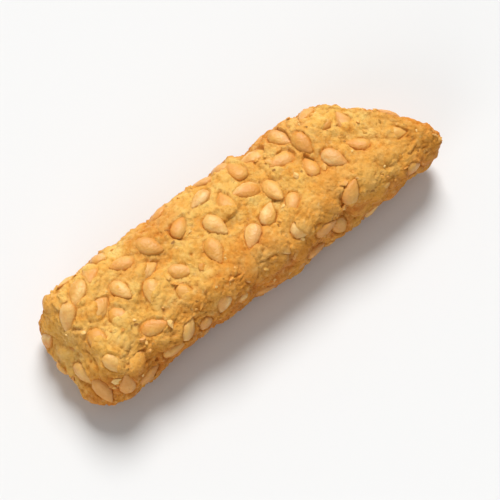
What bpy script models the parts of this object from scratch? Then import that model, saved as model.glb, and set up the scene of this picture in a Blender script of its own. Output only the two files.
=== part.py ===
"""A sesame stick: a short, wide finger of fried dough with a craggy crust and sesame seeds set into it.

The stick lies along X with its broad, blunt end at -X and its slanting cut end at +X, on a small flat spot at Z = 0.
"""
import math
import random

import bmesh
import bpy
from mathutils import Matrix, Vector, noise

MM = 0.001

# Overall size of the block of dough, before its relief
LENGTH = 41.1 * MM
WIDTH = 11.0 * MM
THICKNESS = 7.5 * MM

# Rounding: across the stick, up and down, and lengthwise at each end
SIDE_ROUND = 2.6 * MM
EDGE_ROUND = 2.3 * MM
BLUNT_END_ROUND = 4.0 * MM
CUT_END_ROUND = 1.8 * MM

# The slanting cut: how much shorter the +Y side is, how it steepens towards that side, and how far it reaches back
CUT_SLANT = 8.0 * MM
CUT_CURVE = 1.25
CUT_REACH = 17.0 * MM

# The blunt end's top edge is set back, so that the end leans
BLUNT_LEAN = 1.5 * MM
BLUNT_REACH = 9.0 * MM

# Soft curves of the whole stick
CROWN = 0.35 * MM
BELLY = 0.70 * MM
END_LIFT = 0.55 * MM
END_DROOP = 0.35 * MM

# A small notch torn out of the upper edge of the -Y side
NOTCH_AT = Vector((8.0 * MM, -4.8 * MM, 5.2 * MM))
NOTCH_REACH = 2.4 * MM
NOTCH_DEPTH = 0.9 * MM

# Relief of the crust: how far apart its forms are, how high, how much longer lengthwise, and which draw of the noise
LUMP_SPAN = 6.0 * MM
LUMP_HEIGHT = 0.80 * MM
LUMP_STRETCH = 1.7
LUMP_DRAW = Vector((12.5, 15.5, 12.7))
CRAG_SPAN = 2.5 * MM
CRAG_HEIGHT = 0.55 * MM
CRAG_STRETCH = 1.2
CRAG_DRAW = Vector((14.4, 0.6, 3.2))

# The dough would reach this far below Z = 0, where it is flat because it rests there
REST_SINK = 0.20 * MM

# What brings the middle of the finished stick over the origin
TO_MIDDLE = Vector((0.46 * MM, -0.01 * MM, 0.0))

# The grid that the crust is modelled with
CRUST_STEP = 0.92 * MM

# Sesame seeds
SEED_COUNT = 125
SEED_LENGTH = 2.6 * MM
SEED_WIDTH = 1.62 * MM
SEED_THICKNESS = 1.00 * MM
SEED_POINT = 0.45
SEED_TIP = 0.35
SEED_FLATNESS = 0.30
SEED_SIZE_SPREAD = 0.10
SEED_SPACING = 2.15 * MM
SEED_LOWEST = -0.28 * MM
SEED_HIGHEST = -0.06 * MM
SEED_TURN = math.radians(55.0)
SEED_TILT = math.radians(9.0)
SEED_SIDES = 6
SEED_BANDS = 4
SEED_FLOOR_GAP = 0.10 * MM
SEED_BEND = 0.22 * MM
SEED_TRIES = 6000
SEED_DRAW = 51

CRUST_COLOUR = (0.60, 0.31, 0.09, 1.0)
CRUST_ROUGHNESS = 0.6


def clear_scene():
    """Removes every object that is in the scene."""
    for thing in list(bpy.data.objects):
        bpy.data.objects.remove(thing, do_unlink=True)


def even_rise(value, start, end):
    """Rises evenly from 0 at start to 1 at end."""
    return min(max((value - start) / (end - start), 0.0), 1.0)


def smooth_rise(value, start, end):
    """Rises softly from 0 at start to 1 at end."""
    share = even_rise(value, start, end)
    return share * share * (3.0 - 2.0 * share)


def hill(distance, reach):
    """A soft hill, 1 high in its middle and down to 0 at its reach."""
    return smooth_rise(-abs(distance), -reach, 0.0)


def rounded(place):
    """Rounds the block of dough, and also gives the direction that points out of it there."""
    end_round = BLUNT_END_ROUND if place.x < 0.0 else CUT_END_ROUND
    radii = Vector((end_round, SIDE_ROUND, EDGE_ROUND))
    half = Vector((LENGTH, WIDTH, THICKNESS)) / 2.0
    place = Vector([min(max(place[i], -half[i]), half[i]) for i in range(3)])
    kept = Vector([min(max(place[i], radii[i] - half[i]), half[i] - radii[i]) for i in range(3)])
    out = Vector([(place[i] - kept[i]) / radii[i] for i in range(3)])
    out *= max(abs(out[i]) for i in range(3)) / out.length
    point = kept + Vector([out[i] * radii[i] for i in range(3)])
    outward = Vector([out[i] / radii[i] for i in range(3)]).normalized()
    return point, outward


def relief(point):
    """Height of the crust's lumps and crags at a point of the rounded dough."""
    lump_place = Vector((point.x / LUMP_STRETCH, point.y, point.z)) / LUMP_SPAN
    crag_place = Vector((point.x / CRAG_STRETCH, point.y, point.z)) / CRAG_SPAN
    height = LUMP_HEIGHT * noise.noise(lump_place + LUMP_DRAW)
    height += CRAG_HEIGHT * noise.noise(crag_place + CRAG_DRAW)
    return height


def crust_point(place):
    """Where a place on the plain block of dough lies on the finished crust."""
    point, outward = rounded(place)
    height = relief(point)
    along = 2.0 * point.x / LENGTH
    upper = smooth_rise(point.z, -THICKNESS / 2.0, THICKNESS / 2.0)
    across = 2.0 * point.y / WIDTH
    shaped = point + outward * height
    shaped.z += CROWN * upper * (1.0 - across * across) - END_DROOP * upper * along * along
    shaped.z += (1.0 - upper) * (BELLY * across * across + END_LIFT * abs(along) ** 3)
    shaped.z += THICKNESS / 2.0 - REST_SINK
    shaped -= outward * NOTCH_DEPTH * hill((shaped - NOTCH_AT).length, NOTCH_REACH)
    slant = max((across + 1.0) / 2.0, 0.0) ** CUT_CURVE
    shaped.x -= CUT_SLANT * slant * even_rise(point.x, LENGTH / 2.0 - CUT_REACH, LENGTH / 2.0)
    shaped.x += BLUNT_LEAN * upper * smooth_rise(-point.x, LENGTH / 2.0 - BLUNT_REACH, LENGTH / 2.0)
    shaped.z = max(shaped.z, 0.0)
    return shaped + TO_MIDDLE


def make_crust():
    """The dough as one closed mesh: a block cut into a grid, with each corner moved onto the crust."""
    mesh = bpy.data.meshes.new("sesame_stick")
    block = bmesh.new()
    bmesh.ops.create_cube(block, size=1.0)
    bmesh.ops.scale(block, vec=(LENGTH, WIDTH, THICKNESS), verts=block.verts)
    for axis, size in enumerate((LENGTH, WIDTH, THICKNESS)):
        edges = [edge for edge in block.edges if runs_along(edge, axis)]
        cuts = round(size / CRUST_STEP) - 1
        bmesh.ops.subdivide_edges(block, edges=edges, cuts=cuts, use_grid_fill=True)
    for corner in block.verts:
        corner.co = crust_point(corner.co)
    block.to_mesh(mesh)
    block.free()
    mesh.shade_smooth()
    crust = bpy.data.objects.new("sesame_stick", mesh)
    bpy.context.scene.collection.objects.link(crust)
    return crust


def runs_along(edge, axis):
    """Says whether an edge of the block runs along the given axis."""
    run = edge.verts[1].co - edge.verts[0].co
    return abs(run[axis]) > 0.9 * run.length


def random_place(draw):
    """A place anywhere on the block of dough, and the axis that its face looks along."""
    block = Vector((LENGTH, WIDTH, THICKNESS))
    areas = (block.y * block.z, block.x * block.z, block.x * block.y)
    axis = draw.choices((0, 1, 2), weights=areas)[0]
    place = Vector([size * draw.uniform(-0.5, 0.5) for size in block])
    place[axis] = math.copysign(block[axis] / 2.0, place[axis])
    return place, axis


def seat_of(place, axis):
    """The middle of a seed's seat in the crust, and the direction out of it, from points on either side of the place."""
    seat = Vector()
    spans = []
    for side in ((axis + 1) % 3, (axis + 2) % 3):
        step = Vector()
        step[side] = SEED_LENGTH / 2.0
        ahead, behind = crust_point(place + step), crust_point(place - step)
        seat += (ahead + behind) / 4.0
        spans.append(ahead - behind)
    outward = spans[0].cross(spans[1]).normalized() * math.copysign(1.0, place[axis])
    return seat, outward


def seed_bottom(placing):
    """How high the lowest point of a seed lies, as of the plain oval that the seed fills."""
    halves = Vector((SEED_LENGTH, SEED_WIDTH, SEED_THICKNESS)) / 2.0
    reach = math.sqrt(sum((placing[2][i] * halves[i]) ** 2 for i in range(3)))
    return placing[2][3] - reach


def seed_places():
    """Places, sizes and turns of the seeds, spread evenly over the crust and clear of the ground."""
    draw = random.Random(SEED_DRAW)
    seeds = []
    for _ in range(SEED_TRIES):
        place, axis = random_place(draw)
        turn = draw.gauss(0.0, SEED_TURN)
        tilt = draw.uniform(-SEED_TILT, SEED_TILT)
        size = 1.0 + draw.uniform(-SEED_SIZE_SPREAD, SEED_SIZE_SPREAD)
        height = draw.uniform(SEED_LOWEST, SEED_HIGHEST)
        seat, outward = seat_of(place, axis)
        facing = outward.to_track_quat("Z", "Y").to_matrix().to_4x4()
        spin = Matrix.Rotation(turn, 4, "Z") @ Matrix.Rotation(tilt, 4, "Y")
        placing = Matrix.Translation(seat + outward * height) @ facing @ spin @ Matrix.Scale(size, 4)
        crowded = any((seat - other.to_translation()).length < SEED_SPACING for other in seeds)
        sharp = (crust_point(place) - seat).length > SEED_BEND
        if crowded or sharp or seed_bottom(placing) < SEED_FLOOR_GAP:
            continue
        seeds.append(placing)
        if len(seeds) == SEED_COUNT:
            break
    return seeds


def seed_narrowing(along):
    """How wide a seed is at a place along it, from -0.5 at its blunt end to 0.5 at its tip."""
    return (1.0 - SEED_POINT * (along + 0.5)) * (1.0 + SEED_POINT / 2.0) - SEED_TIP * smooth_rise(along, 0.1, 0.6)


def make_seed(name, placing):
    """One sesame seed: a flat drop, blunt at one end and pointed at the other."""
    mesh = bpy.data.meshes.new(name)
    drop = bmesh.new()
    lengthwise = Matrix.Rotation(math.radians(90.0), 4, "Y")
    bmesh.ops.create_uvsphere(drop, u_segments=SEED_SIDES, v_segments=SEED_BANDS, radius=0.5, matrix=lengthwise)
    for corner in drop.verts:
        narrowing = seed_narrowing(corner.co.x)
        corner.co.y *= SEED_WIDTH * narrowing
        corner.co.z *= SEED_THICKNESS * narrowing * (1.0 + SEED_FLATNESS * (0.5 - 2.0 * abs(corner.co.z)))
        corner.co.x *= SEED_LENGTH
    bmesh.ops.transform(drop, matrix=placing, verts=drop.verts)
    drop.to_mesh(mesh)
    drop.free()
    return bpy.data.objects.new(name, mesh)


def set_seeds(crust):
    """Joins every seed to the crust with one Boolean union."""
    seeds = bpy.data.collections.new("seeds")
    bpy.context.scene.collection.children.link(seeds)
    for number, placing in enumerate(seed_places()):
        seeds.objects.link(make_seed(f"seed_{number:03d}", placing))
    join = crust.modifiers.new("join seeds", "BOOLEAN")
    join.operation = "UNION"
    join.operand_type = "COLLECTION"
    join.collection = seeds
    join.solver = "EXACT"
    with bpy.context.temp_override(object=crust, active_object=crust, selected_objects=[crust]):
        bpy.ops.object.modifier_apply(modifier=join.name)
    for seed in list(seeds.objects):
        bpy.data.objects.remove(seed, do_unlink=True)
    bpy.data.collections.remove(seeds)


def make_crust_material():
    """Golden brown fried dough."""
    material = bpy.data.materials.new("golden_crust")
    material.use_nodes = True
    shader = material.node_tree.nodes["Principled BSDF"]
    shader.inputs["Base Color"].default_value = CRUST_COLOUR
    shader.inputs["Roughness"].default_value = CRUST_ROUGHNESS
    shader.inputs["Metallic"].default_value = 0.0
    return material


def build():
    """Models the whole stick."""
    clear_scene()
    crust = make_crust()
    crust.data.materials.append(make_crust_material())
    set_seeds(crust)


build()
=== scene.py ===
"""How a sesame stick looks: fried dough with a craggy crust, toasted sesame seeds and crumbs.

The frame holds the plain solid. The pieces made here stand for it, in the same place and at the
same size. The stick lies along X with its broad, blunt end at -X and its slanting cut end at +X.
All lengths are in metres.
"""
import math
import random

import bmesh
import bpy
from mathutils import Matrix, Vector, noise
from mathutils.kdtree import KDTree


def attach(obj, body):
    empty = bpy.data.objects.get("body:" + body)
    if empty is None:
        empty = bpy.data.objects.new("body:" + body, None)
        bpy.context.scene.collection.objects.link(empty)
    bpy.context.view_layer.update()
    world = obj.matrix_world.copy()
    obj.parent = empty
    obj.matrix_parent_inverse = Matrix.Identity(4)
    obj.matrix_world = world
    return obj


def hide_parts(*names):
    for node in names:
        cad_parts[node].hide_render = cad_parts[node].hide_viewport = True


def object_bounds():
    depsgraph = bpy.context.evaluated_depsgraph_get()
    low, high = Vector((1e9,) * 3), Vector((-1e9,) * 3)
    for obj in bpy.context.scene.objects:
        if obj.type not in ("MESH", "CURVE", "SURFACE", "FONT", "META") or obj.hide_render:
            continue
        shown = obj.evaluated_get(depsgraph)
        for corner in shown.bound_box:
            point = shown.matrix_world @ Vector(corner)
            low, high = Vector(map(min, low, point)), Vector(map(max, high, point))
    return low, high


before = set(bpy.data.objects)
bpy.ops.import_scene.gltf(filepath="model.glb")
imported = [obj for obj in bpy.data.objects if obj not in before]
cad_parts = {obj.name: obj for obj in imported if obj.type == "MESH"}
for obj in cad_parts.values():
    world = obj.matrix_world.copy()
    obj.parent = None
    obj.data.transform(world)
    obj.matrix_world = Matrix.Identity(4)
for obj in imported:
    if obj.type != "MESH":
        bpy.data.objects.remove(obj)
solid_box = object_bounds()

MM = 0.001

# Overall size of the block of dough, before its relief
LENGTH = 41.1 * MM
WIDTH = 11.0 * MM
THICKNESS = 7.5 * MM
BLOCK = Vector((LENGTH, WIDTH, THICKNESS))
HALF_BLOCK = BLOCK / 2.0

# Rounding: across the stick, up and down, and lengthwise at each end
SIDE_ROUND = 2.6 * MM
EDGE_ROUND = 2.3 * MM
BLUNT_END_ROUND = 4.0 * MM
CUT_END_ROUND = 1.8 * MM

# The slanting cut: how much shorter the +Y side is, how the slant steepens, and how far it reaches back
CUT_SLANT = 8.0 * MM
CUT_CURVE = 1.25
CUT_REACH = 17.0 * MM

# The blunt end's top edge is set back, so that the end leans
BLUNT_LEAN = 1.5 * MM
BLUNT_REACH = 9.0 * MM

# Soft curves of the whole stick
CROWN = 0.35 * MM
BELLY = 0.70 * MM
END_LIFT = 0.55 * MM
END_DROOP = 0.35 * MM

# A small notch torn out of the upper edge of the -Y side
NOTCH_AT = Vector((8.0 * MM, -4.8 * MM, 5.2 * MM))
NOTCH_REACH = 2.4 * MM
NOTCH_DEPTH = 0.9 * MM

# Lumps and crags: how far apart, how high, how much longer lengthwise, and which draw of the noise
LUMP_SPAN = 6.0 * MM
LUMP_HEIGHT = 0.80 * MM
LUMP_STRETCH = 1.7
LUMP_DRAW = Vector((12.5, 15.5, 12.7))
CRAG_SPAN = 2.5 * MM
CRAG_HEIGHT = 0.55 * MM
CRAG_STRETCH = 1.2
CRAG_DRAW = Vector((14.4, 0.6, 3.2))

# The dough would reach this far below Z = 0, where it is flat because it rests there
REST_SINK = 0.20 * MM

# What brings the middle of the finished stick over the origin
TO_MIDDLE = Vector((0.46 * MM, -0.01 * MM, 0.0))

# The grid that the crust is modelled with. An edge runs along an axis if this share of its length does
CRUST_STEP = 0.137 * MM
STRAIGHTNESS = 0.9

# Form of a sesame seed: a flat drop that narrows to its tip, with shallow dents
SEED_LENGTH = 2.6 * MM
SEED_WIDTH = 1.62 * MM
SEED_THICKNESS = 1.00 * MM
SEED_POINT = 0.45
SEED_NARROWEST = 0.3
SEED_TIP = 0.35
SEED_TIP_FROM = 0.1
SEED_TIP_TO = 0.6
SEED_FLATNESS = 0.30
SEED_DENT = 0.08 * MM
SEED_DENT_SPAN = 0.9 * MM
SEED_SIDES = 10
SEED_BANDS = 6

# Places of the seeds: how many, how they vary, how far apart, and how deep in the crust
SEED_COUNT = 125
SEED_DRAW = 51
SEED_TRIES = 6000
SEED_SIZE_SPREAD = 0.10
SEED_SPACING = 2.15 * MM
SEED_LOWEST = -0.28 * MM
SEED_HIGHEST = -0.06 * MM
SEED_TURN = math.radians(55.0)
SEED_TILT = math.radians(9.0)

# How far a seed stays off the ground, and how far the crust may bend away from under it
SEED_FLOOR_GAP = 0.10 * MM
SEED_BEND = 0.22 * MM

# Seeds pressed into the underside: how far they stay off the ground, and which draw
UNDER_SEED_GAP = 0.03 * MM
UNDER_SEED_DRAW = 8

# How far from its middle a seed changes the dough
SEED_REACH = 0.85 * SEED_LENGTH

# Collar of dough that hugs each seed: its place and spread are shares of the way to the seed's outline
COLLAR_AT = 1.10
COLLAR_SPREAD = 0.42
COLLAR_HEIGHT = 0.10 * MM
COLLAR_EVEN = 0.6
COLLAR_UNEVEN = 0.8
COLLAR_DRAW = Vector((2.2, 7.1, 4.8))
# How much the raised collar adds to the painted highlight of the ridges
COLLAR_PAINTED_HIGHLIGHT = 0.4

# Thin skin of dough on part of some seeds: how far it lies over them, or under the face of a bare seed
SKIN_OVER = 0.06 * MM
SKIN_UNDER = 0.12 * MM

# Which share of the seeds has a skin, and where along a seed it may end. At SKIN_NOWHERE there is none
SKIN_SHARE = 0.45
SKIN_FURTHEST = -1.4
SKIN_NEAREST = 0.6
SKIN_NOWHERE = 2.0

# Edge of the skin: how far it is swung round, how ragged and soft it is, and what it doesn't turn round
SKIN_SWING = math.radians(28.0)
SKIN_SPAN = 1.1 * MM
SKIN_RAGGED = 0.55
SKIN_EDGE = 0.30
SKIN_FACING = 0.55

# Seat of dough below each seed: how far out it is whole, and how much smoother it is than the crust
SEAT_EDGE = 0.8
SEAT_SMOOTHNESS = 0.75

# The seam between a seed and its collar: a groove, darkened by a browned edge and by painted shade
SEAM_AT = 0.97
SEAM_SPREAD = 0.24
SEAM_DEPTH = 0.09 * MM
SEAM_STAIN_AND_SHADE = 0.16

# What makes each cell of a pattern different from its neighbours
CELL_MIXER = 17.3

# Fine relief of the crust: low blisters and rounded grains
BLISTER_SPAN = 2.6 * MM
BLISTER_SHARE = 0.35
BLISTER_RADIUS = 0.42
BLISTER_HEIGHT = 0.14 * MM
GRAIN_SPAN = 0.85 * MM
GRAIN_RADIUS = 0.72
GRAIN_HEIGHT = 0.17 * MM
GRAIN_DRAW = Vector((0.031, 0.017, 0.011))

# Fine relief of the crust: crumbly unevenness and fine bubbles
CRUMBLE_SPAN = 1.00 * MM
CRUMBLE_HEIGHT = 0.10 * MM
CRUMBLE_FINENESS = 0.45
CRUMBLE_RATIO = 2.1
CRUMBLE_LAYERS = 4
BUBBLE_SPAN = 0.62 * MM
BUBBLE_HEIGHT = 0.15 * MM
BUBBLE_MEAN = 0.37
BUBBLE_LAYERS = 2

# Fine relief of the crust: creases, pits and cracks
CREASE_SPAN = 0.95 * MM
CREASE_WIDTH = 0.16
CREASE_DEPTH = 0.09 * MM
PIT_SPAN = 1.5 * MM
PIT_SHARE = 0.32
PIT_RADIUS = 0.24
PIT_DEPTH = 0.30 * MM
PIT_DRAW = Vector((0.013, 0.041, 0.007))
CRACK_SPAN = 2.6 * MM
CRACK_STRETCH = 3.2
CRACK_WIDTH = 0.085
CRACK_DEPTH = 0.14 * MM
CRACK_DRAW = Vector((6.3, 1.7, 9.4))
CRACK_AREA_SPAN = 7.0 * MM
CRACK_AREA_FROM = -0.05
CRACK_AREA_FULL = 0.25
CRACK_AREA_DRAW = Vector((3.1, 8.2, 5.5))

# How far the fine relief may reach past the box of the solid, and how much of the rest is kept
BOX_MARGIN = 0.08 * MM
PAST_BOX = 0.25

# Browning of the crust at its ends, and painted shade down its sides, up over the -Y side's shoulder,
# towards the bottom and underneath
BROWNED_AND_SHADED_REACH = 2.6 * MM
SHOULDER_REACH = 7.2 * MM
LOW_SHADE_FROM = 0.30
BAKE_BLUNT_END = 0.50
BAKE_CUT_END = 1.0
SHOULDER_PAINTED_SHADE = 0.50
UNDERSIDE_PAINTED_SHADE = 0.60

# Loose crumbs stuck to the crust: how many, how large, their proportions, and how ragged they are
CRUMB_COUNT = 220
CRUMB_DRAW = 7
CRUMB_SMALLEST = 0.25 * MM
CRUMB_LARGEST = 0.80 * MM
CRUMB_SMALLNESS = 2.5
CRUMB_LONG = (0.9, 1.5)
CRUMB_WIDE = (0.6, 1.1)
CRUMB_HIGH = (0.35, 0.7)
CRUMB_LEAN = 0.4
CRUMB_RISE = 0.05
CRUMB_RAGGED = 0.9
CRUMB_LUMPS = 2.5
CRUMB_MIXER = 1.7 / MM
CRUMB_CLEARANCE = 1.05

# Ranges in the colours and finishes are a number's ends, and what they become if that isn't 0 and 1

# Cloud patterns of the crust's colour: how far apart the clouds are, their layers and their roughness
BROAD_CLOUDS = (7.0 * MM, 3.0, 0.55)
PATCHY_CLOUDS = (1.8 * MM, 5.0, 0.65)
FINE_CLOUDS = (0.50 * MM, 4.0, 0.65)
BRAN_CLOUDS = (0.85 * MM, 1.0, 0.55)
PORE_CLOUDS = (0.24 * MM, 4.0, 0.70)
DOME_SPAN = 0.45 * MM

# Colours of the crust, from its darker clouds to its paler ones
BROAD_SHARE = 0.52
PATCHY_SHARE = 0.48
CRUST_TONES = (
    (0.37, (0.77, 0.310, 0.044)),
    (0.46, (0.87, 0.428, 0.075)),
    (0.54, (0.92, 0.530, 0.111)),
    (0.64, (0.94, 0.650, 0.172)),
)

# Colours laid over those: where they start and are full, how strong they are, and which they are
# Browning at the ends, and painted shade down the sides, towards the bottom and underneath, let through in
# patches
BROWNED_AND_SHADED_PATCHES = (0.36, 0.60, 0.40, 1.0)
BROWNED_AND_SHADED_SHARE = 0.87
BROWNED_AND_SHADED_BROWN = (0.65, 0.180, 0.018)
# Painted shade in the hollows of the crust
HOLLOWS = (-0.02, -0.26)
HOLLOW_PAINTED_SHADE_SHARE = 0.70
HOLLOW_PAINTED_SHADE = (0.68, 0.45, 0.20)
# Painted highlight on the ridges and collars
RIDGES = (0.03, 0.26)
RIDGE_PAINTED_HIGHLIGHT_SHARE = 0.30
RIDGE_PAINTED_HIGHLIGHT = (0.92, 0.54, 0.14)
MEAL = (0.55, 0.72)
MEAL_SHARE = 0.45
MEAL_PALE = (0.94, 0.61, 0.21)
PORES = (0.45, 0.28)
PORE_SHARE = 0.65
PORE_TINT = (0.66, 0.44, 0.21)
BRAN = (0.73, 0.78, 0.0, 0.75)
BRAN_BROWN = (0.30, 0.10, 0.015)

# Finish of the crust: its roughness, its oiliness by patch and by browning and painted shade, its pores and
# its glow
CRUST_ROUGHNESS = (0.38, 0.62, 0.62, 0.32)
OILY_PATCHES = (0.40, 0.62, 0.15, 0.60)
OILY_AWAY_FROM_BROWNED_AND_SHADED = (0.0, 0.7, 1.0, 0.2)
DOME_SHARE = 0.45
CRUST_BUMP = (1.0, 0.20 * MM)
CRUST_GLOW = (0.03, (1.0, 0.45, 0.15), 0.35 * MM)

# Colours of the seeds, from the most to the least toasted, what darkens their patches and rims, and painted
# shade on seeds that face sideways or down
SEED_TONES = (
    (0.0, (0.76, 0.37, 0.065)),
    (0.35, (0.83, 0.46, 0.11)),
    (0.75, (0.88, 0.54, 0.17)),
    (1.0, (0.92, 0.63, 0.26)),
)
SEED_CLOUDS = (0.7 * MM, 4.0, 0.60)
SEED_SHADES = (0.55, 0.30, 0.0, 0.5)
SEED_SHADED = (0.74, 0.36, 0.07)
RIM_SPREAD = 2.2
RIM_PATCHES = (0.35, 0.6, 1.0, 0.4)
RIM_SHARE = 0.7
RIM_STAIN = (0.66, 0.26, 0.03)
SEED_PAINTED_SHADE_SHARE = 0.6
SEED_PAINTED_SHADE_TAN = (0.71, 0.27, 0.040)

# Finish of the seeds: their roughness, their veins and their glow
SEED_ROUGHNESS = (0.3, 0.7, 0.48, 0.34)
VEIN_CLOUDS = (0.22 * MM, 3.0, 0.60)
SEED_BUMP = (0.8, 0.12 * MM)
SEED_GLOW = (0.12, (1.0, 0.6, 0.3), 0.4 * MM)

# Colours and finish of the crumbs
CRUMB_TONES = (
    (0.0, (0.64, 0.26, 0.03)),
    (0.30, (0.74, 0.34, 0.05)),
    (0.75, (0.84, 0.45, 0.10)),
    (1.0, (0.90, 0.58, 0.20)),
)
CRUMB_CLOUDS = (0.3 * MM, 3.0, 0.60)
CRUMB_SHADES = (0.5, 0.3, 0.0, 0.4)
CRUMB_BROWN = (0.50, 0.20, 0.03)
CRUMB_ROUGHNESS = (0.3, 0.7, 0.6, 0.45)
CRUMB_BUMP = (0.4, 0.05 * MM)
CRUMB_GLOW = (0.10, (1.0, 0.5, 0.2), 0.5 * MM)

# Camera: which way it looks from, and how much it takes in
CAMERA_AZIMUTH = math.radians(-39.3)
CAMERA_ELEVATION = math.radians(67.0)
CAMERA_LENS = 240.0
CAMERA_SENSOR = 36.0
CAMERA_AIM = Vector((0.0, -2.1 * MM, 4.0 * MM))
VIEW_WIDTH = 45.0 * MM

# Lights: a strong one from beyond the stick, a weak one from its blunt end, and an even sky
SUN_AZIMUTH = math.radians(140.7)
SUN_ELEVATION = math.radians(52.0)
SUN_SOFTNESS = math.radians(28.0)
SUN_STRENGTH = 3.4
FILL_AZIMUTH = math.radians(-68.0)
FILL_ELEVATION = math.radians(24.0)
FILL_SOFTNESS = math.radians(40.0)
FILL_STRENGTH = 0.80
SKY_LIGHT = 0.30
SKY_COLOUR = (1.0, 1.0, 1.0, 1.0)

# Floor, which the backdrop behind it matches
FLOOR_SIZE = 12.0
FLOOR_COLOUR = (0.757, 0.757, 0.752, 1.0)
FLOOR_ROUGHNESS = 0.9


def even_rise(value, start, end):
    """Rises evenly from 0 at start to 1 at end."""
    return min(max((value - start) / (end - start), 0.0), 1.0)


def smooth_rise(value, start, end):
    """Rises softly from 0 at start to 1 at end."""
    share = even_rise(value, start, end)
    return share * share * (3.0 - 2.0 * share)


def hill(distance, reach):
    """A soft hill, 1 high in its middle and down to 0 at its reach."""
    return smooth_rise(-abs(distance), -reach, 0.0)


def nearest_inside(point, low, high):
    """The place inside a box that is nearest to a point."""
    return Vector([min(max(point[i], low[i]), high[i]) for i in range(3)])


def soft_noise(point, span, draw, stretch=1.0):
    """Soft noise from -1 to 1, whose forms are about span apart and stretched lengthwise."""
    return noise.noise(Vector((point.x / stretch, point.y, point.z)) / span + draw)


def rounded(place):
    """Rounds the block of dough, and also gives the direction that points out of it there."""
    end_round = BLUNT_END_ROUND if place.x < 0.0 else CUT_END_ROUND
    radii = Vector((end_round, SIDE_ROUND, EDGE_ROUND))
    place = nearest_inside(place, -HALF_BLOCK, HALF_BLOCK)
    kept = nearest_inside(place, radii - HALF_BLOCK, HALF_BLOCK - radii)
    out = Vector([(place[i] - kept[i]) / radii[i] for i in range(3)])
    out *= max(abs(out[i]) for i in range(3)) / out.length
    point = kept + Vector([out[i] * radii[i] for i in range(3)])
    outward = Vector([out[i] / radii[i] for i in range(3)]).normalized()
    return point, outward


def relief(point):
    """Height of the crust's lumps and crags at a point of the rounded dough."""
    lumps = soft_noise(point, LUMP_SPAN, LUMP_DRAW, LUMP_STRETCH)
    crags = soft_noise(point, CRAG_SPAN, CRAG_DRAW, CRAG_STRETCH)
    return LUMP_HEIGHT * lumps + CRAG_HEIGHT * crags


def crust_point(place):
    """Where a place on the plain block of dough lies on the crust."""
    point, outward = rounded(place)
    along = 2.0 * point.x / LENGTH
    across = 2.0 * point.y / WIDTH
    upper = smooth_rise(point.z, -THICKNESS / 2.0, THICKNESS / 2.0)
    shaped = point + outward * relief(point)
    shaped.z += CROWN * upper * (1.0 - across * across) - END_DROOP * upper * along * along
    shaped.z += (1.0 - upper) * (BELLY * across * across + END_LIFT * abs(along) ** 3)
    shaped.z += THICKNESS / 2.0 - REST_SINK
    shaped -= outward * NOTCH_DEPTH * hill((shaped - NOTCH_AT).length, NOTCH_REACH)
    slant = max((across + 1.0) / 2.0, 0.0) ** CUT_CURVE
    shaped.x -= CUT_SLANT * slant * even_rise(point.x, LENGTH / 2.0 - CUT_REACH, LENGTH / 2.0)
    shaped.x += BLUNT_LEAN * upper * smooth_rise(-point.x, LENGTH / 2.0 - BLUNT_REACH, LENGTH / 2.0)
    shaped.z = max(shaped.z, 0.0)
    return shaped + TO_MIDDLE


def random_place(draw):
    """A place anywhere on the block of dough, and the axis that its face looks along."""
    areas = (BLOCK.y * BLOCK.z, BLOCK.x * BLOCK.z, BLOCK.x * BLOCK.y)
    axis = draw.choices((0, 1, 2), weights=areas)[0]
    place = Vector([size * draw.uniform(-0.5, 0.5) for size in BLOCK])
    place[axis] = math.copysign(BLOCK[axis] / 2.0, place[axis])
    return place, axis


def seat_of(place, axis):
    """The middle of a seed's seat in the crust and the direction out of it, from points round the place."""
    seat = Vector()
    spans = []
    for side in ((axis + 1) % 3, (axis + 2) % 3):
        step = Vector()
        step[side] = SEED_LENGTH / 2.0
        ahead, behind = crust_point(place + step), crust_point(place - step)
        seat += (ahead + behind) / 4.0
        spans.append(ahead - behind)
    outward = spans[0].cross(spans[1]).normalized() * math.copysign(1.0, place[axis])
    return seat, outward


def placed_seed(middle, outward, spin, size):
    """Turns and moves a seed so that its flat side looks outward."""
    facing = outward.to_track_quat("Z", "Y").to_matrix().to_4x4()
    return Matrix.Translation(middle) @ facing @ spin @ Matrix.Scale(size, 4)


def seed_bottom(placing):
    """How high the lowest point of a seed lies, as of the plain oval that the seed fills."""
    halves = Vector((SEED_LENGTH, SEED_WIDTH, SEED_THICKNESS)) / 2.0
    reach = math.sqrt(sum((placing[2][i] * halves[i]) ** 2 for i in range(3)))
    return placing[2][3] - reach


def too_close(middle, seeds):
    """Says whether a seed would crowd the others."""
    return any((middle - other.to_translation()).length < SEED_SPACING for other in seeds)


def too_sharp(place, seat):
    """Says whether the crust bends too sharply for a seed to lie on it."""
    return (crust_point(place) - seat).length > SEED_BEND


def seed_places():
    """Places, sizes and turns of the seeds, spread evenly over the crust and clear of the ground."""
    draw = random.Random(SEED_DRAW)
    seeds = []
    for _ in range(SEED_TRIES):
        place, axis = random_place(draw)
        turn = draw.gauss(0.0, SEED_TURN)
        tilt = draw.uniform(-SEED_TILT, SEED_TILT)
        size = 1.0 + draw.uniform(-SEED_SIZE_SPREAD, SEED_SIZE_SPREAD)
        height = draw.uniform(SEED_LOWEST, SEED_HIGHEST)
        seat, outward = seat_of(place, axis)
        spin = Matrix.Rotation(turn, 4, "Z") @ Matrix.Rotation(tilt, 4, "Y")
        placing = placed_seed(seat + outward * height, outward, spin, size)
        too_low = seed_bottom(placing) < SEED_FLOOR_GAP
        if too_low or too_close(seat, seeds) or too_sharp(place, seat):
            continue
        seeds.append(placing)
        if len(seeds) == SEED_COUNT:
            break
    return seeds


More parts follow.
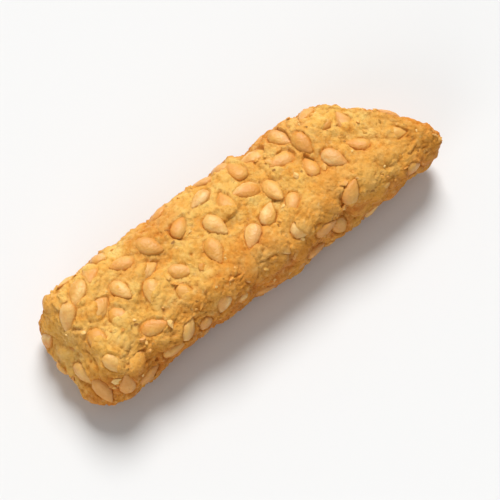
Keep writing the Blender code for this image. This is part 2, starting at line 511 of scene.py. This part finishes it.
def underside_places(others):
    """Places, sizes and turns of the seeds in the underside, pressed in to clear the ground."""
    draw = random.Random(UNDER_SEED_DRAW)
    seeds = []
    for _ in range(SEED_TRIES):
        along, across = draw.uniform(-0.5, 0.5), draw.uniform(-0.5, 0.5)
        place = Vector((LENGTH * along, WIDTH * across, -THICKNESS / 2.0))
        turn = draw.gauss(0.0, SEED_TURN)
        size = 1.0 + draw.uniform(-SEED_SIZE_SPREAD, SEED_SIZE_SPREAD)
        seat, outward = seat_of(place, axis=2)
        placing = placed_seed(seat, outward, Matrix.Rotation(turn, 4, "Z"), size)
        pressed = max(UNDER_SEED_GAP - seed_bottom(placing), -SEED_HIGHEST)
        placing = Matrix.Translation((0.0, 0.0, pressed)) @ placing
        if too_close(placing.to_translation(), others + seeds) or too_sharp(place, seat):
            continue
        seeds.append(placing)
    return seeds


def seed_details(placing, draw):
    """What the dough and the colours need to know of a seed, such as the way that its skin comes from."""
    outward = placing.col[2].to_3d().normalized()
    tone = draw.random()
    swing = Matrix.Rotation(draw.gauss(0.0, SKIN_SWING), 3, "Z")
    cover_way = swing @ Vector((draw.choice((-1.0, 1.0)), 0.0, 0.0))
    has_skin = draw.random() < SKIN_SHARE
    return {
        "placing": placing,
        "inverse": placing.inverted(),
        "middle": placing.to_translation(),
        "outward": outward,
        "tone": tone,
        # Painted shade: seeds that face sideways or down are darkened
        "bake_and_shade": 1.0 - max(outward.z, 0.0),
        "cover_way": cover_way,
        "bare": draw.uniform(SKIN_FURTHEST, SKIN_NEAREST) if has_skin else SKIN_NOWHERE,
    }


def seed_narrowing(along):
    """How wide a seed is at a place along it, from -0.5 at its blunt end to 0.5 at its tip."""
    taper = (1.0 - SEED_POINT * (along + 0.5)) * (1.0 + SEED_POINT / 2.0)
    return taper - SEED_TIP * smooth_rise(along, SEED_TIP_FROM, SEED_TIP_TO)


def seed_top(local):
    """How far a seed's surface is above its middle plane, and how far out towards its outline."""
    along = local.x / SEED_LENGTH
    narrowing = seed_narrowing(along)
    across = local.y / (SEED_WIDTH * max(narrowing, SEED_NARROWEST))
    out = 2.0 * math.sqrt(along * along + across * across)
    top = 0.5 * SEED_THICKNESS * narrowing * math.sqrt(max(1.0 - out * out, 0.0))
    return top, out


def over_seed(point, seeds):
    """Says whether a point lies on one of the seeds."""
    for seed in seeds:
        near = (point - seed["middle"]).length < SEED_LENGTH
        if near and seed_top(seed["inverse"] @ point)[1] < CRUMB_CLEARANCE:
            return True
    return False


def cell_at(point, span):
    """The cell of a pattern at a point: how far off its middle is, in spans, and its own number."""
    distances, middles = noise.voronoi(point / span)
    return distances[0], noise.cell(middles[0] * CELL_MIXER) * 0.5 + 0.5


def blisters(point):
    """Low, smooth blisters, here and there."""
    distance, number = cell_at(point, BLISTER_SPAN)
    if number > BLISTER_SHARE:
        return 0.0
    return BLISTER_HEIGHT * hill(distance, BLISTER_RADIUS)


def grains(point):
    """Coarse meal in the dough, as small rounded grains of uneven height."""
    distance, number = cell_at(point + GRAIN_DRAW, GRAIN_SPAN)
    return GRAIN_HEIGHT * number * hill(distance, GRAIN_RADIUS)


def crumble(point):
    """The crumbly unevenness of the fried dough, under the fine bubbles of its skin."""
    clumps = noise.fractal(point / CRUMBLE_SPAN, CRUMBLE_FINENESS, CRUMBLE_RATIO, CRUMBLE_LAYERS)
    bubbles = noise.turbulence(point / BUBBLE_SPAN, BUBBLE_LAYERS, True) - BUBBLE_MEAN
    return CRUMBLE_HEIGHT * clumps + BUBBLE_HEIGHT * bubbles


def creases(point):
    """Fine creases between the grains of the dough."""
    distances = noise.voronoi(point / CREASE_SPAN)[0]
    return -CREASE_DEPTH * hill(distances[1] - distances[0], CREASE_WIDTH)


def pits(point):
    """Small burst bubbles."""
    distance, number = cell_at(point + PIT_DRAW, PIT_SPAN)
    if number > PIT_SHARE:
        return 0.0
    return -PIT_DEPTH * (1.0 - number) * hill(distance, PIT_RADIUS)


def cracks(point):
    """Thin creases that run lengthwise, in some places only."""
    area = soft_noise(point, CRACK_AREA_SPAN, CRACK_AREA_DRAW)
    strength = smooth_rise(area, CRACK_AREA_FROM, CRACK_AREA_FULL)
    if strength == 0.0:
        return 0.0
    line = soft_noise(point, CRACK_SPAN, CRACK_DRAW, CRACK_STRETCH)
    return -CRACK_DEPTH * strength * hill(line, CRACK_WIDTH)


def fine_relief(point):
    """How far all the fine forms of the crust raise it at a point."""
    small = grains(point) + crumble(point) + creases(point)
    large = blisters(point) + pits(point) + cracks(point)
    return small + large


def dough_at_seed(point, outward, seed):
    """How far the dough rises at a seed, how much of it takes the seed's form, and how deep the seam is."""
    local = seed["inverse"] @ point
    top, out = seed_top(local)
    past_collar = out > COLLAR_AT + COLLAR_SPREAD or abs(local.z) > SEED_THICKNESS
    if past_collar or outward.dot(seed["outward"]) < SKIN_FACING:
        return 0.0, 0.0, 0.0
    towards_cover = local.dot(seed["cover_way"]) / (SEED_LENGTH / 2.0)
    towards_cover += SKIN_RAGGED * noise.noise(point / SKIN_SPAN)
    cover = smooth_rise(towards_cover, seed["bare"], seed["bare"] + SKIN_EDGE)
    seam = (1.0 - cover) * hill(out - SEAM_AT, SEAM_SPREAD)
    if out > 1.0:
        uneven = COLLAR_EVEN + COLLAR_UNEVEN * soft_noise(point, SKIN_SPAN, COLLAR_DRAW)
        collar = COLLAR_HEIGHT * max(uneven, cover) * hill(out - COLLAR_AT, COLLAR_SPREAD)
        return collar, 0.0, seam
    lift = top - SKIN_UNDER + (SKIN_OVER + SKIN_UNDER) * cover - local.z
    taken = max(smooth_rise(-out, -1.0, -SEAT_EDGE), cover)
    return max(lift, lift * (1.0 - cover)), taken, seam


def finished_crust(point, outward, seeds):
    """How high the crust stands at a point with these seeds near, and the height that its painted shade and
    highlights follow.
    """
    collar, over, taken, seam = 0.0, 0.0, 0.0, 0.0
    for seed in seeds:
        lift, share, groove = dough_at_seed(point, outward, seed)
        seam = max(seam, groove)
        if share > taken:
            over, taken = lift, share
        elif share == 0.0:
            collar = max(collar, lift)
    fine = (1.0 - SEAT_SMOOTHNESS * taken) * fine_relief(point)
    height = collar + (over - collar) * taken - SEAM_DEPTH * seam + fine
    # Painted highlight where this is high, on ridges and collars; painted shade where it is low, in
    # hollows, and in the seam, which is partly a browned edge
    rise = (fine + COLLAR_PAINTED_HIGHLIGHT * collar) / MM - SEAM_STAIN_AND_SHADE * seam
    return height, rise


def browning_and_painted_shade(place):
    """How much browner the crust is than on top: browned at its ends, and painted shade down its sides,
    over the -Y side's shoulder, towards the bottom and underneath.
    """
    near = [smooth_rise(abs(place[i]), HALF_BLOCK[i] - BROWNED_AND_SHADED_REACH, HALF_BLOCK[i]) for i in range(3)]
    near[1] = max(near[1], smooth_rise(-place.y, HALF_BLOCK.y - SHOULDER_REACH, HALF_BLOCK.y))
    low = 1.0 - smooth_rise(place.z, LOW_SHADE_FROM * HALF_BLOCK.z, HALF_BLOCK.z)
    shoulder = SHOULDER_PAINTED_SHADE if place.y < SHOULDER_REACH - HALF_BLOCK.y else 0.0
    end = BAKE_BLUNT_END if place.x < 0.0 else BAKE_CUT_END
    return max(end * near[0], near[1] * (shoulder + (1.0 - shoulder) * low), UNDERSIDE_PAINTED_SHADE * near[2] * low)


def held_in(point):
    """Draws a point back if it lies past the box of the solid, so that the stick keeps its size."""
    low = Vector(solid_box[0]) - Vector((BOX_MARGIN, BOX_MARGIN, 0.0))
    high = Vector(solid_box[1]) + Vector((BOX_MARGIN, BOX_MARGIN, BOX_MARGIN))
    inside = nearest_inside(point, low, high)
    past = point - inside
    past.z = max(past.z, 0.0)
    return inside + PAST_BOX * past


def add_attribute(mesh, name, values):
    """Keeps one number for each corner of a mesh, which its material reads."""
    attribute = mesh.attributes.new(name, "FLOAT", "POINT")
    attribute.data.foreach_set("value", values)


def finish_piece(name, body, material, smooth=True):
    """Turns a finished bmesh into an object that rides on the frame."""
    mesh = bpy.data.meshes.new(name)
    body.to_mesh(mesh)
    body.free()
    if smooth:
        mesh.shade_smooth()
    mesh.materials.append(material)
    piece = bpy.data.objects.new(name, mesh)
    bpy.context.scene.collection.objects.link(piece)
    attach(piece, "root")
    return piece


def runs_along(edge, axis):
    """Says whether an edge of the block runs along the given axis."""
    run = edge.verts[1].co - edge.verts[0].co
    return abs(run[axis]) > STRAIGHTNESS * run.length


def gridded_block():
    """The plain block of dough, cut into a fine grid."""
    block = bmesh.new()
    bmesh.ops.create_cube(block, size=1.0)
    bmesh.ops.scale(block, vec=BLOCK, verts=block.verts)
    for axis, size in enumerate((LENGTH, WIDTH, THICKNESS)):
        edges = [edge for edge in block.edges if runs_along(edge, axis)]
        cuts = round(size / CRUST_STEP) - 1
        bmesh.ops.subdivide_edges(block, edges=edges, cuts=cuts, use_grid_fill=True)
    return block


def make_crust(seeds, material):
    """The dough as one closed mesh: a block shaped as the solid is, and then given its fine relief."""
    block = gridded_block()
    # Browning at the ends and painted shade down the sides and underneath, taken from the plain block
    browned_and_shaded = [browning_and_painted_shade(corner.co) for corner in block.verts]
    for corner in block.verts:
        corner.co = crust_point(corner.co)
    block.normal_update()
    middles = KDTree(len(seeds))
    for number, seed in enumerate(seeds):
        middles.insert(seed["middle"], number)
    middles.balance()
    rises = []
    for corner in block.verts:
        near = [seeds[number] for _, number, _ in middles.find_range(corner.co, SEED_REACH)]
        height, rise = finished_crust(corner.co, corner.normal, near)
        corner.co = held_in(corner.co + corner.normal * height)
        rises.append(rise)
    crust = finish_piece("fried_crust", block, material)
    add_attribute(crust.data, "rise", rises)
    add_attribute(crust.data, "bake_and_shade", browned_and_shaded)
    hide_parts("sesame_stick")
    return crust


def drop_point(ball, own):
    """Where a point of a ball 1 across goes as the ball becomes a seed with dents of its own."""
    narrowing = seed_narrowing(ball.x)
    plumpness = 1.0 + SEED_FLATNESS * (0.5 - 2.0 * abs(ball.z))
    width = SEED_WIDTH * narrowing
    thickness = SEED_THICKNESS * narrowing * plumpness
    point = Vector((SEED_LENGTH * ball.x, width * ball.y, thickness * ball.z))
    dent = noise.noise(point / SEED_DENT_SPAN + own)
    return point + point.normalized() * SEED_DENT * dent


def make_seeds(seeds, material):
    """All sesame seeds: flat drops, blunt at one end and pointed at the other, each a little uneven."""
    body = bmesh.new()
    tones, rims, seed_painted_shades = [], [], []
    lengthwise = Matrix.Rotation(math.radians(90.0), 4, "Y")
    for seed in seeds:
        made = bmesh.ops.create_uvsphere(
            body, u_segments=SEED_SIDES, v_segments=SEED_BANDS, radius=0.5, matrix=lengthwise
        )
        for corner in made["verts"]:
            corner.co = drop_point(corner.co, seed["middle"] / MM)
            tones.append(seed["tone"])
            seed_painted_shades.append(seed["bake_and_shade"])
            rims.append(1.0 - min(RIM_SPREAD * abs(corner.co.z) / SEED_THICKNESS, 1.0))
        bmesh.ops.transform(body, matrix=seed["placing"], verts=made["verts"])
    piece = finish_piece("sesame_seeds", body, material)
    add_attribute(piece.data, "tone", tones)
    add_attribute(piece.data, "rim", rims)
    add_attribute(piece.data, "bake_and_shade", seed_painted_shades)


def make_crumbs(crust, seeds, material):
    """Tiny crumbs of fried dough stuck all over the crust, between the seeds."""
    draw = random.Random(CRUMB_DRAW)
    corners = crust.data.vertices
    body = bmesh.new()
    tones = []
    crumbs_made = 0
    while crumbs_made < CRUMB_COUNT:
        corner = corners[draw.randrange(len(corners))]
        size = CRUMB_SMALLEST + (CRUMB_LARGEST - CRUMB_SMALLEST) * draw.random() ** CRUMB_SMALLNESS
        stretch = Vector([draw.uniform(*limits) for limits in (CRUMB_LONG, CRUMB_WIDE, CRUMB_HIGH)])
        turn = Matrix.Rotation(draw.uniform(0.0, math.tau), 4, "Z")
        lean = Matrix.Rotation(draw.gauss(0.0, CRUMB_LEAN), 4, "X")
        tone = draw.random()
        edge = corner.co + corner.normal * size
        sticks_out = (held_in(edge) - edge).length > 0.0
        if corner.co.z < size or sticks_out or over_seed(corner.co, seeds):
            continue
        middle = corner.co + corner.normal * size * CRUMB_RISE
        facing = corner.normal.to_track_quat("Z", "X").to_matrix().to_4x4()
        shape = turn @ lean @ Matrix.Diagonal(stretch * size).to_4x4()
        made = bmesh.ops.create_icosphere(body, subdivisions=1, radius=0.5)
        for tip in made["verts"]:
            tip.co *= 1.0 + CRUMB_RAGGED * noise.noise(tip.co * CRUMB_LUMPS + middle * CRUMB_MIXER)
            tones.append(tone)
        bmesh.ops.transform(body, matrix=Matrix.Translation(middle) @ facing @ shape, verts=made["verts"])
        crumbs_made += 1
    piece = finish_piece("crumbs", body, material, smooth=False)
    add_attribute(piece.data, "tone", tones)


def new_material(name):
    """A material with one principled shader, and what is needed to wire more nodes to it."""
    material = bpy.data.materials.new(name)
    material.use_nodes = True
    tree = material.node_tree
    return material, tree, tree.nodes["Principled BSDF"]


def feed(tree, socket, value):
    """Wires one socket to another, or sets it to a value."""
    if isinstance(value, bpy.types.NodeSocket):
        tree.links.new(value, socket)
    else:
        socket.default_value = value


def add(tree, kind, inputs=None, **settings):
    """Adds a node, sets it up, and sets or wires its inputs."""
    node = tree.nodes.new(kind)
    for name, value in settings.items():
        setattr(node, name, value)
    for name, value in (inputs or {}).items():
        feed(tree, node.inputs[name], value)
    return node


def object_place(tree):
    """The place on the piece, which patterns follow."""
    return add(tree, "ShaderNodeTexCoord").outputs["Object"]


def kept_number(tree, name):
    """One of the numbers kept for the corners of the mesh."""
    return add(tree, "ShaderNodeAttribute", attribute_name=name).outputs["Fac"]


def clouds(tree, place, span, layers, roughness):
    """Cloudy noise whose forms are about span apart, as a number from 0 to 1."""
    settings = {"Vector": place, "Scale": 1.0 / span, "Detail": layers, "Roughness": roughness}
    return add(tree, "ShaderNodeTexNoise", settings).outputs["Fac"]


def domes(tree, place, span):
    """How far a place is from the middle of the nearest of many small domes."""
    return add(tree, "ShaderNodeTexVoronoi", {"Vector": place, "Scale": 1.0 / span}).outputs["Distance"]


def ramp(tree, factor, stops):
    """Colours over a range of numbers. Each stop is a number and a colour."""
    node = add(tree, "ShaderNodeValToRGB", {"Fac": factor})
    points = node.color_ramp.elements
    while len(points) < len(stops):
        points.new(1.0)
    for point, (position, colour) in zip(points, stops):
        point.position = position
        point.color = (*colour, 1.0)
    return node.outputs["Color"]


def mixed(tree, factor, under, laid, blend="MIX"):
    """One colour laid over another."""
    node = add(tree, "ShaderNodeMix", data_type="RGBA", blend_type=blend)
    sockets = {socket.name: socket for socket in node.inputs if socket.enabled}
    feed(tree, sockets["Factor"], factor)
    feed(tree, sockets["A"], under)
    feed(tree, sockets["B"], (*laid, 1.0))
    return [socket for socket in node.outputs if socket.enabled][0]


def ranged(tree, value, low, high, to_low=0.0, to_high=1.0):
    """A number carried from one range to another, and kept inside it."""
    settings = {"Value": value, "From Min": low, "From Max": high, "To Min": to_low, "To Max": to_high}
    return add(tree, "ShaderNodeMapRange", settings).outputs["Result"]


def calculated(tree, operation, first, second):
    """Two numbers worked together."""
    node = add(tree, "ShaderNodeMath", operation=operation)
    feed(tree, node.inputs[0], first)
    feed(tree, node.inputs[1], second)
    return node.outputs["Value"]


def times(tree, first, second):
    """Two numbers multiplied."""
    return calculated(tree, "MULTIPLY", first, second)


def bumped(tree, shader, height, strength, distance):
    """Gives the shader a bump from a height."""
    node = add(tree, "ShaderNodeBump", {"Height": height, "Strength": strength, "Distance": distance})
    tree.links.new(node.outputs["Normal"], shader.inputs["Normal"])


def soften(shader, weight, radius, depth):
    """Lets some light pass a little way under the surface."""
    shader.inputs["Subsurface Weight"].default_value = weight
    shader.inputs["Subsurface Radius"].default_value = radius
    shader.inputs["Subsurface Scale"].default_value = depth


def crust_material():
    """Golden fried dough: uneven browning with painted shade down the sides and underneath, painted shade
    in the hollows, painted highlights on the ridges, paler grains and a faint sheen of oil.
    """
    material, tree, shader = new_material("golden_crust")
    place = object_place(tree)
    rise = kept_number(tree, "rise")
    bake_and_shade = kept_number(tree, "bake_and_shade")
    broad = clouds(tree, place, *BROAD_CLOUDS)
    patchy = clouds(tree, place, *PATCHY_CLOUDS)
    fine = clouds(tree, place, *FINE_CLOUDS)
    bran = clouds(tree, place, *BRAN_CLOUDS)
    pores = clouds(tree, place, *PORE_CLOUDS)
    tone = calculated(tree, "ADD", times(tree, broad, BROAD_SHARE), times(tree, patchy, PATCHY_SHARE))
    colour = ramp(tree, tone, CRUST_TONES)
    # Browning, and painted shade down the sides and underneath, let through in patches
    browned_and_shaded = times(tree, bake_and_shade, ranged(tree, patchy, *BROWNED_AND_SHADED_PATCHES))
    # Browning with painted shade, painted shade in the hollows, painted highlights on the ridges, then
    # paler meal and darker pores
    layers = (
        ("MIX", browned_and_shaded, BROWNED_AND_SHADED_SHARE, BROWNED_AND_SHADED_BROWN),
        ("MULTIPLY", ranged(tree, rise, *HOLLOWS), HOLLOW_PAINTED_SHADE_SHARE, HOLLOW_PAINTED_SHADE),
        ("MIX", ranged(tree, rise, *RIDGES), RIDGE_PAINTED_HIGHLIGHT_SHARE, RIDGE_PAINTED_HIGHLIGHT),
        ("MIX", ranged(tree, fine, *MEAL), MEAL_SHARE, MEAL_PALE),
        ("MULTIPLY", ranged(tree, fine, *PORES), PORE_SHARE, PORE_TINT),
    )
    for blend, factor, share, laid in layers:
        colour = mixed(tree, times(tree, factor, share), colour, laid, blend)
    colour = mixed(tree, ranged(tree, bran, *BRAN), colour, BRAN_BROWN)
    feed(tree, shader.inputs["Base Color"], colour)
    feed(tree, shader.inputs["Roughness"], ranged(tree, fine, *CRUST_ROUGHNESS))
    oily = times(tree, ranged(tree, patchy, *OILY_PATCHES), ranged(tree, bake_and_shade, *OILY_AWAY_FROM_BROWNED_AND_SHADED))
    feed(tree, shader.inputs["Specular IOR Level"], oily)
    domed = times(tree, domes(tree, place, DOME_SPAN), DOME_SHARE)
    bumped(tree, shader, calculated(tree, "SUBTRACT", pores, domed), *CRUST_BUMP)
    soften(shader, *CRUST_GLOW)
    return material


def seed_material():
    """Toasted sesame seeds: cream to light tan, each of its own tone, with painted shade where they face
    sideways or down, and a faint satin gloss.
    """
    material, tree, shader = new_material("sesame_seed")
    place = object_place(tree)
    rim = kept_number(tree, "rim")
    bake_and_shade = kept_number(tree, "bake_and_shade")
    patchy = clouds(tree, place, *SEED_CLOUDS)
    veins = clouds(tree, place, *VEIN_CLOUDS)
    colour = ramp(tree, kept_number(tree, "tone"), SEED_TONES)
    colour = mixed(tree, ranged(tree, patchy, *SEED_SHADES), colour, SEED_SHADED)
    stained = times(tree, rim, ranged(tree, patchy, *RIM_PATCHES))
    colour = mixed(tree, times(tree, stained, RIM_SHARE), colour, RIM_STAIN)
    # Painted shade on seeds that face sideways or down
    colour = mixed(tree, times(tree, bake_and_shade, SEED_PAINTED_SHADE_SHARE), colour, SEED_PAINTED_SHADE_TAN)
    feed(tree, shader.inputs["Base Color"], colour)
    feed(tree, shader.inputs["Roughness"], ranged(tree, patchy, *SEED_ROUGHNESS))
    bumped(tree, shader, veins, *SEED_BUMP)
    soften(shader, *SEED_GLOW)
    return material


def crumb_material():
    """Crumbs of the same dough, some paler and some browner."""
    material, tree, shader = new_material("fried_crumb")
    patchy = clouds(tree, object_place(tree), *CRUMB_CLOUDS)
    colour = ramp(tree, kept_number(tree, "tone"), CRUMB_TONES)
    colour = mixed(tree, ranged(tree, patchy, *CRUMB_SHADES), colour, CRUMB_BROWN)
    feed(tree, shader.inputs["Base Color"], colour)
    feed(tree, shader.inputs["Roughness"], ranged(tree, patchy, *CRUMB_ROUGHNESS))
    bumped(tree, shader, patchy, *CRUMB_BUMP)
    soften(shader, *CRUMB_GLOW)
    return material


def make_pieces():
    """Makes everything that shows of the stick."""
    placings = seed_places()
    placings += underside_places(placings)
    draw = random.Random(SEED_DRAW + 1)
    seeds = [seed_details(placing, draw) for placing in placings]
    crust = make_crust(seeds, crust_material())
    make_seeds(seeds, seed_material())
    make_crumbs(crust, seeds, crumb_material())


def from_angles(azimuth, elevation):
    """The direction towards a camera or light. Azimuth 0 is at -Y, and 90 degrees is at +X."""
    flat = math.cos(elevation)
    return Vector((math.sin(azimuth) * flat, -math.cos(azimuth) * flat, math.sin(elevation)))


def stand_and_face(thing, away):
    """Puts a camera or light in the scene, turned to look back from the direction it stands in."""
    bpy.context.scene.collection.objects.link(thing)
    thing.rotation_mode = "QUATERNION"
    thing.rotation_quaternion = (-away).to_track_quat("-Z", "Y")


def make_camera():
    """The camera, at the angle that the stick is seen from."""
    data = bpy.data.cameras.new("camera")
    data.lens = CAMERA_LENS
    data.sensor_width = CAMERA_SENSOR
    camera = bpy.data.objects.new("camera", data)
    away = from_angles(CAMERA_AZIMUTH, CAMERA_ELEVATION)
    camera.location = CAMERA_AIM + away * (VIEW_WIDTH * CAMERA_LENS / CAMERA_SENSOR)
    stand_and_face(camera, away)
    bpy.context.scene.camera = camera


def make_light(name, azimuth, elevation, strength, softness):
    """A broad, soft light from far off."""
    data = bpy.data.lights.new(name, "SUN")
    data.energy = strength
    data.angle = softness
    stand_and_face(bpy.data.objects.new(name, data), from_angles(azimuth, elevation))


def make_lights():
    """The two lights, and an even pale sky whose backdrop is as bright as the floor."""
    make_light("key", SUN_AZIMUTH, SUN_ELEVATION, SUN_STRENGTH, SUN_SOFTNESS)
    make_light("fill", FILL_AZIMUTH, FILL_ELEVATION, FILL_STRENGTH, FILL_SOFTNESS)
    lights = SUN_STRENGTH * math.sin(SUN_ELEVATION) + FILL_STRENGTH * math.sin(FILL_ELEVATION)
    backdrop = lights / math.pi + SKY_LIGHT
    world = bpy.data.worlds.new("pale studio")
    world.use_nodes = True
    tree = world.node_tree
    for node in list(tree.nodes):
        tree.nodes.remove(node)
    seen = add(tree, "ShaderNodeBackground", {"Color": FLOOR_COLOUR, "Strength": backdrop})
    lit = add(tree, "ShaderNodeBackground", {"Color": SKY_COLOUR, "Strength": SKY_LIGHT})
    path = add(tree, "ShaderNodeLightPath")
    either = add(tree, "ShaderNodeMixShader")
    tree.links.new(path.outputs["Is Camera Ray"], either.inputs[0])
    tree.links.new(lit.outputs[0], either.inputs[1])
    tree.links.new(seen.outputs[0], either.inputs[2])
    tree.links.new(either.outputs[0], add(tree, "ShaderNodeOutputWorld").inputs[0])
    bpy.context.scene.world = world


def make_floor():
    """A plain pale floor."""
    body = bmesh.new()
    bmesh.ops.create_grid(body, x_segments=1, y_segments=1, size=FLOOR_SIZE / 2.0)
    mesh = bpy.data.meshes.new("floor")
    body.to_mesh(mesh)
    body.free()
    material, _, shader = new_material("pale_floor")
    shader.inputs["Base Color"].default_value = FLOOR_COLOUR
    shader.inputs["Roughness"].default_value = FLOOR_ROUGHNESS
    shader.inputs["Specular IOR Level"].default_value = 0.0
    mesh.materials.append(material)
    floor = bpy.data.objects.new("floor", mesh)
    bpy.context.scene.collection.objects.link(floor)


make_pieces()
make_floor()
make_camera()
make_lights()
bpy.context.scene.view_settings.view_transform = "Standard"
